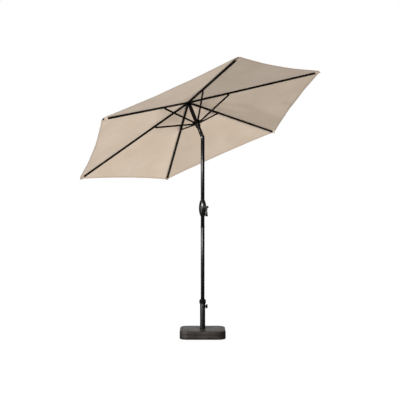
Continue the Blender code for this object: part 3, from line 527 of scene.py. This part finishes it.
def ridge_seam(number):
    """The felled seam that joins two panels over a rib."""
    start, end = CROWN_PATCH_RADIUS, CORNER_REACH - HEM_WIDTH

    def spot(across, along):
        return start + (end - start) * (along + 1) / 2, -SEAM_HALF_WIDTH * across

    def place(across, along):
        out, aside = spot(across, along)
        lift = CLOTH_THICKNESS * 0.8  # its underside is sunk a little into the cloth
        return on_cloth(math.hypot(out, aside), math.atan2(aside, out), number, lift)

    def uv(across, along):
        out, aside = spot(across, along)
        return out, aside

    return grid_piece(f"ridge_seam_{number}", 4, 60, place, uv, TRIM_THICKNESS)


def corner_pocket(number):
    """The pocket under a corner of the canopy that the rib's end cap sits in."""
    mouth = CORNER_REACH - POCKET_LENGTH

    def spot(across, along):
        outward = (along + 1) / 2
        half = POCKET_HALF_WIDTH * (1 - 0.25 * outward)
        return mouth + (CORNER_REACH - 0.001 - mouth) * outward, -half * across

    def place(across, along):
        out, aside = spot(across, along)
        top = on_cloth(math.hypot(out, aside), math.atan2(aside, out), number, -POCKET_BELOW_CLOTH)
        hollow = max(0.0, 1 - abs(across) ** 2.6)
        outward = (along + 1) / 2
        closing = math.sqrt(max(0.0, 1 - outward**8))
        return top - Vector((0, 0, POCKET_DEPTH * hollow * closing))

    def uv(across, along):
        out, aside = spot(across, along)
        return aside, out

    return grid_piece(f"corner_pocket_{number}", 16, 14, place, uv, POCKET_THICKNESS)


def crown_patch():
    """The round patch that stiffens the top of the cloth under the finial."""
    rings = 6
    step = (CROWN_PATCH_HOLE - CROWN_PATCH_RADIUS) / rings
    bpy.ops.mesh.primitive_circle_add(vertices=72, radius=CROWN_PATCH_RADIUS, fill_type="NOTHING")
    patch = bpy.context.object
    patch.name = patch.data.name = "crown_patch"
    bpy.ops.object.mode_set(mode="EDIT")
    bpy.ops.mesh.select_all(action="SELECT")
    for ring in range(rings):
        here = CROWN_PATCH_RADIUS + step * ring
        smaller = (here + step) / here
        bpy.ops.mesh.extrude_edges_move()
        bpy.ops.transform.resize(value=(smaller, smaller, 1))
    bpy.ops.mesh.select_all(action="SELECT")
    bpy.ops.mesh.normals_make_consistent(inside=False)
    end_edit()
    if patch.data.polygons[0].normal.z < 0:
        patch.data.flip_normals()
    layer = patch.data.uv_layers.new(name="UVMap")
    for loop in patch.data.loops:
        layer.data[loop.index].uv = patch.data.vertices[loop.vertex_index].co.xy
    for vertex in patch.data.vertices:
        radius = vertex.co.xy.length
        turn = (math.atan2(vertex.co.y, vertex.co.x) + HALF_STEP) % (2 * HALF_STEP) - HALF_STEP
        dome = CROWN_PATCH_DOME * (1 - (radius / CROWN_PATCH_RADIUS) ** 2)
        vertex.co.z = cloth_height(radius, turn) + CLOTH_THICKNESS + CROWN_PATCH_GAP + dome
    shell = patch.modifiers.new("thickness", "SOLIDIFY")
    shell.thickness, shell.offset = TRIM_THICKNESS, 1.0
    apply_modifiers(patch)
    smooth(patch, 50)
    patch.data.transform(spoke_place(1))
    put(patch, "mast", "canopy_fabric", PATCH_CLOTH)


def make_canopy():
    for number in range(1, SPOKES + 1):
        place = spoke_place(number)
        cloth = canopy_cloth(number)
        trimmings = [
            (canopy_hem(number), HEM_CLOTH),
            (ridge_seam(number), SEAM_CLOTH),
            (corner_pocket(number), PATCH_CLOTH),
        ]
        for piece, material in [(cloth, CANOPY_CLOTH), *trimmings]:
            piece.data.transform(place)
            put(piece, f"rib_{number}", "canopy_fabric", material)
            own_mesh(piece)
        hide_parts(f"canopy_section_{number}")
    crown_patch()


# The base


def rounded_block(name, side, corner, low, high):
    """A square block with round upright corners."""
    middle = (0, 0, (low + high) / 2)
    bpy.ops.mesh.primitive_cube_add(size=1, location=middle, scale=(side, side, high - low))
    block = bpy.context.object
    block.name = block.data.name = name
    bpy.ops.object.transform_apply(location=True, rotation=True, scale=True)
    points = block.data.vertices
    select_in_mesh(
        block,
        "edges",
        lambda edge: abs(points[edge.vertices[0]].co.z - points[edge.vertices[1]].co.z) > (high - low) / 2,
    )
    bpy.ops.mesh.bevel(offset=corner, segments=14, profile=0.5, affect="EDGES")
    end_edit()
    return block


def cut_round_hole(piece, radius, low, high):
    bpy.ops.mesh.primitive_cylinder_add(
        vertices=64, radius=radius, depth=high - low, location=(0, 0, (low + high) / 2)
    )
    cutter = bpy.context.object
    modifier = piece.modifiers.new("hole", "BOOLEAN")
    modifier.operation, modifier.object, modifier.solver = "DIFFERENCE", cutter, "EXACT"
    apply_modifiers(piece)
    bpy.data.objects.remove(cutter, do_unlink=True)


def base_cover():
    """The moulded shell: a groove round its side, a rounded shoulder and a recess for the top panel."""
    cover = rounded_block("moulded_base_cover", BASE_SIDE, BASE_CORNER, BASE_FOOT, BASE_TOP)
    levels = [PARTING_HEIGHT + step * PARTING_WIDTH / 2 for step in (-1, 0, 1)]
    for level in levels:
        select_in_mesh(cover, "polygons", lambda face: True)
        bpy.ops.mesh.bisect(plane_co=(0, 0, level), plane_no=(0, 0, 1))
        end_edit()
    select_in_mesh(cover, "vertices", lambda v: abs(v.co.z - PARTING_HEIGHT) < SAME_LEVEL)
    shrink = 1 - 2 * PARTING_DEPTH / BASE_SIDE
    bpy.ops.transform.resize(value=(shrink, shrink, 1))
    end_edit()
    top = BASE_TOP - SAME_LEVEL
    select_in_mesh(cover, "polygons", lambda face: face.normal.z > 0.9 and face.center.z > top)
    bpy.ops.mesh.inset(thickness=PANEL_INSET, use_even_offset=True)
    bpy.ops.mesh.extrude_region_move(TRANSFORM_OT_translate={"value": (0, 0, -PANEL_STEP)})
    end_edit()
    inner_half = BASE_SIDE / 2 - PANEL_INSET / 2

    def on_shoulder(edge):
        ends = [cover.data.vertices[i].co for i in edge.vertices]
        level = all(abs(p.z - BASE_TOP) < SAME_LEVEL for p in ends)
        middle = (ends[0] + ends[1]) / 2
        corner = BASE_SIDE / 2 - BASE_CORNER
        dx, dy = max(abs(middle.x) - corner, 0), max(abs(middle.y) - corner, 0)
        return level and math.hypot(dx, dy) > inner_half - corner

    select_in_mesh(cover, "edges", on_shoulder)
    bpy.ops.mesh.bevel(offset=BASE_EDGE_ROUND, segments=6, profile=0.5, affect="EDGES")
    end_edit()
    foot = BASE_FOOT + SAME_LEVEL
    select_in_mesh(cover, "polygons", lambda face: face.normal.z < -0.9 and face.center.z < foot)
    bpy.ops.mesh.delete(type="FACE")
    end_edit()
    shell = cover.modifiers.new("wall", "SOLIDIFY")
    shell.thickness, shell.offset, shell.use_even_offset = COVER_WALL, -1.0, True
    apply_modifiers(cover)
    cut_round_hole(cover, STEM_HOLE + COVER_HOLE_ROOM, BASE_TOP / 2, 2 * BASE_TOP)
    round_edges(cover, MOULDED_EDGE, 2, MOULDED_ANGLE)
    smooth(cover, 40)
    put(cover, "base", "base_plastic", BASE_PLASTIC)
    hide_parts("base_cover")


def base_panel():
    """The inset top panel, flat, with a rounded edge."""
    low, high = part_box("base_top_panel")
    panel = rounded_block("moulded_top_panel", high.x - low.x, BASE_CORNER - PANEL_INSET, low.z, high.z)
    cut_round_hole(panel, STEM_HOLE - PANEL_HOLE_LESS, 0, 2 * BASE_TOP)
    round_edges(panel, MOULDED_EDGE, 3, MOULDED_ANGLE)
    smooth(panel, 40)
    put(panel, "base", "base_plastic", BASE_PLASTIC)
    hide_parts("base_top_panel")


# Pieces that keep the frame's shape


def finished(node, body, slot, material, edge):
    """A node's own shape with its corners rounded and its round faces smooth."""
    piece = frame["nodes"][node].copy()
    piece.data = piece.data.copy()
    piece.name = piece.data.name = f"{node}_finished"
    for key in list(piece.keys()):
        del piece[key]
    piece.parent = None
    bpy.context.scene.collection.objects.link(piece)
    active_only(piece)
    bpy.ops.mesh.customdata_custom_splitnormals_clear()
    select_in_mesh(piece, "polygons", lambda face: True)
    bpy.ops.mesh.remove_doubles(threshold=0.00002)
    bpy.ops.mesh.dissolve_limited(angle_limit=math.radians(0.5))
    end_edit()
    round_edges(piece, edge, 2, FRAME_ANGLE)
    smooth(piece)
    put(piece, body, slot, material)
    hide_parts(node)


SLOT_MATERIALS = {
    "rubber": PAD_RUBBER,
    "cast_iron": BALLAST_IRON,
    "base_plastic": BASE_PLASTIC,
    "pole_paint": POLE_COAT,
    "frame_paint": FRAME_COAT,
    "knuckle_metal": CAST_BLACK,
    "black_plastic": BLACK_NYLON,
    "grip_plastic": GRIP_PLASTIC,
    "steel": ZINC_STEEL,
    "nylon": WHITE_NYLON,
}
NODE_MATERIALS = {
    "crank_housing_front": HOUSING_NYLON,
    "crank_housing_back": HOUSING_NYLON,
    "crank_arm": GRIP_PLASTIC,
}
REMODELLED = ("base_cover", "base_top_panel")
ROUNDED_MORE = {"floor_pad": 0.001, "stem_collar": 0.001, "crank_arm": 0.0008, "top_hub": 0.0008}


def finish_frame_nodes():
    slots = {row["node"]: row["material_slot"] for row in frame["record"]["subparts"]}
    bodies = frame["record"]["behaviour"]["bodies"]
    for body, nodes in bodies.items():
        for node in nodes:
            if node in REMODELLED or node.startswith("canopy_section"):
                continue
            material = NODE_MATERIALS.get(node, SLOT_MATERIALS[slots[node]])
            finished(node, body, slots[node], material, ROUNDED_MORE.get(node, FRAME_EDGE))


def grip_end_cap():
    """A black cup over the free end of the crank grip, which makes the grip dark at its end."""
    low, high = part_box("crank_grip")
    radius = (high.x - low.x) / 2 + GRIP_CAP_WALL
    middle = (low + high) / 2
    middle.z = low.z + GRIP_CAP_DEPTH / 2 - GRIP_CAP_WALL
    bpy.ops.mesh.primitive_cylinder_add(vertices=40, radius=radius, depth=GRIP_CAP_DEPTH, location=middle)
    cup = bpy.context.object
    cup.name = cup.data.name = "grip_end_cap"
    bpy.ops.object.transform_apply(location=True, rotation=True, scale=True)
    select_in_mesh(cup, "polygons", lambda face: face.normal.z > 0.9)
    bpy.ops.mesh.inset(thickness=GRIP_CAP_WALL + GRIP_CAP_ROOM)
    bottom = (0, 0, GRIP_CAP_WALL - GRIP_CAP_DEPTH)
    bpy.ops.mesh.extrude_region_move(TRANSFORM_OT_translate={"value": bottom})
    end_edit()
    round_edges(cup, FRAME_EDGE, 2, FRAME_ANGLE)
    smooth(cup, 40)
    put(cup, "grip", "black_plastic", PAD_RUBBER)


def strut_rivets():
    """Domed rivet heads on both ends of the pins that the struts turn on."""
    bpy.ops.mesh.primitive_cylinder_add(vertices=20, radius=RIVET_RADIUS, depth=RIVET_HEIGHT)
    pattern = bpy.context.object
    select_in_mesh(pattern, "polygons", lambda face: face.normal.z > 0.9)
    bpy.ops.mesh.bevel(offset=RIVET_HEIGHT * 0.8, segments=4, profile=0.5, affect="EDGES")
    end_edit()
    smooth(pattern, 45)
    for number in range(1, SPOKES + 1):
        joint = JOINTS[f"strut_{number}_fold"]
        hinge = Vector(joint["axis"])
        for side, label in ((1, "a"), (-1, "b")):
            rivet = bpy.data.objects.new(f"strut_rivet_{number}{label}", pattern.data.copy())
            bpy.context.scene.collection.objects.link(rivet)
            turned = (side * hinge).to_track_quat("Z", "Y").to_matrix().to_4x4()
            spot = Vector(joint["pos_m"]) + side * hinge * (STRUT_PIN_HALF + RIVET_HEIGHT / 2)
            rivet.data.transform(Matrix.Translation(spot) @ turned)
            put(rivet, f"rib_{number}", "steel", FRAME_COAT)
    bpy.data.objects.remove(pattern, do_unlink=True)


# The studio


def seen_or_lit(tree, socket, seen, lit):
    """The studio is white to look at, but adds less light than that to the object."""
    sight = add(tree, "ShaderNodeLightPath").outputs["Is Camera Ray"]
    strength = add(tree, "ShaderNodeMapRange", {"Value": sight, "To Min": lit, "To Max": seen})
    tree.links.new(strength.outputs["Result"], socket)


def light_set(name, pieces):
    """A set of pieces that some lights, or their shadows, are kept to."""
    made = bpy.data.collections.new(name)
    for piece in pieces:
        made.objects.link(piece)
    return made


def studio():
    objects = bpy.context.scene.objects
    visible = [piece for piece in objects if piece.type == "MESH" and not piece.hide_render]
    cloth_names = ("canopy_cloth", "canopy_hem", "ridge_seam", "corner_pocket", "crown_patch")
    cloth_pieces = light_set("cloth", [piece for piece in visible if piece.name.startswith(cloth_names)])
    hard_pieces = light_set("hard", [piece for piece in visible if piece.name not in cloth_pieces.objects])
    bpy.ops.mesh.primitive_plane_add(size=120)
    floor = bpy.context.object
    floor.name = "studio_floor"
    made, tree, shader = new_material("white_floor", 0.9, specular=0.1)
    shader.inputs["Base Color"].default_value = linear("#5a5a5a")
    shader.inputs["Emission Color"].default_value = (1, 1, 1, 1)
    seen_or_lit(tree, shader.inputs["Emission Strength"], FLOOR_SEEN, FLOOR_LIT)
    floor.data.materials.append(made)

    world = bpy.data.worlds.new("studio")
    world.use_nodes = True
    tree = world.node_tree
    background = tree.nodes["Background"]
    background.inputs["Color"].default_value = (1, 1, 1, 1)
    seen_or_lit(tree, background.inputs["Strength"], WORLD_SEEN, WORLD_LIT)
    bpy.context.scene.world = world

    def place_light(name, light, place, aim, receivers):
        lamp = bpy.data.objects.new(name, light)
        bpy.context.scene.collection.objects.link(lamp)
        lamp.location = place
        lamp.rotation_euler = (Vector(aim) - Vector(place)).to_track_quat("-Z", "Y").to_euler()
        lamp.visible_camera = False
        lamp.light_linking.receiver_collection = receivers
        return lamp

    def softbox(name, place, aim, width, height, power, receivers=None):
        light = bpy.data.lights.new(name, "AREA")
        light.shape, light.size, light.size_y, light.energy = "RECTANGLE", width, height, power
        place_light(name, light, place, aim, receivers)

    softbox("left_low", (-4.9, -2.2, 0.7), (0, 0, 1.2), 1.2, 2.8, 70, hard_pieces)
    softbox("left_high", (-3.6, -4.4, 2.75), (0, 0, 1.95), 3.6, 1.0, 520, hard_pieces)
    softbox("front_high", (-1.6, -6.0, 3.2), (0, 0, 1.3), 0.8, 0.8, 60, hard_pieces)
    softbox("front_fill", (1.2, -7.5, 2.6), (0, 0, 0.3), 1.6, 0.8, 75, hard_pieces)
    softbox("backdrop", (0.2, 6.0, 1.4), (0, 0, 0.2), 3.0, 1.6, 18)
    softbox("overhead", (-0.5, 0.5, 6.5), (0, 0, 1.5), 4.0, 4.0, 130)
    fill = bpy.data.lights.new("canopy_fill", "SUN")
    fill.energy, fill.angle = 3.5, math.radians(60)
    lamp = place_light("canopy_fill", fill, (8.0, -5.2, -0.2), (0, 0, 2.1), cloth_pieces)
    lamp.light_linking.blocker_collection = light_set("canopy_shadows", hard_pieces.objects)


def camera():
    made = bpy.data.cameras.new("camera")
    made.sensor_width, made.lens = 36.0, LENS
    eye = bpy.data.objects.new("camera", made)
    bpy.context.scene.collection.objects.link(eye)
    eye.location, eye.rotation_euler = EYE, (math.pi / 2, 0, 0)
    bpy.context.scene.camera = eye


camera()
base_cover()
base_panel()
finish_frame_nodes()
grip_end_cap()
strut_rivets()
make_canopy()
studio()
bpy.context.scene.view_settings.view_transform = "Standard"
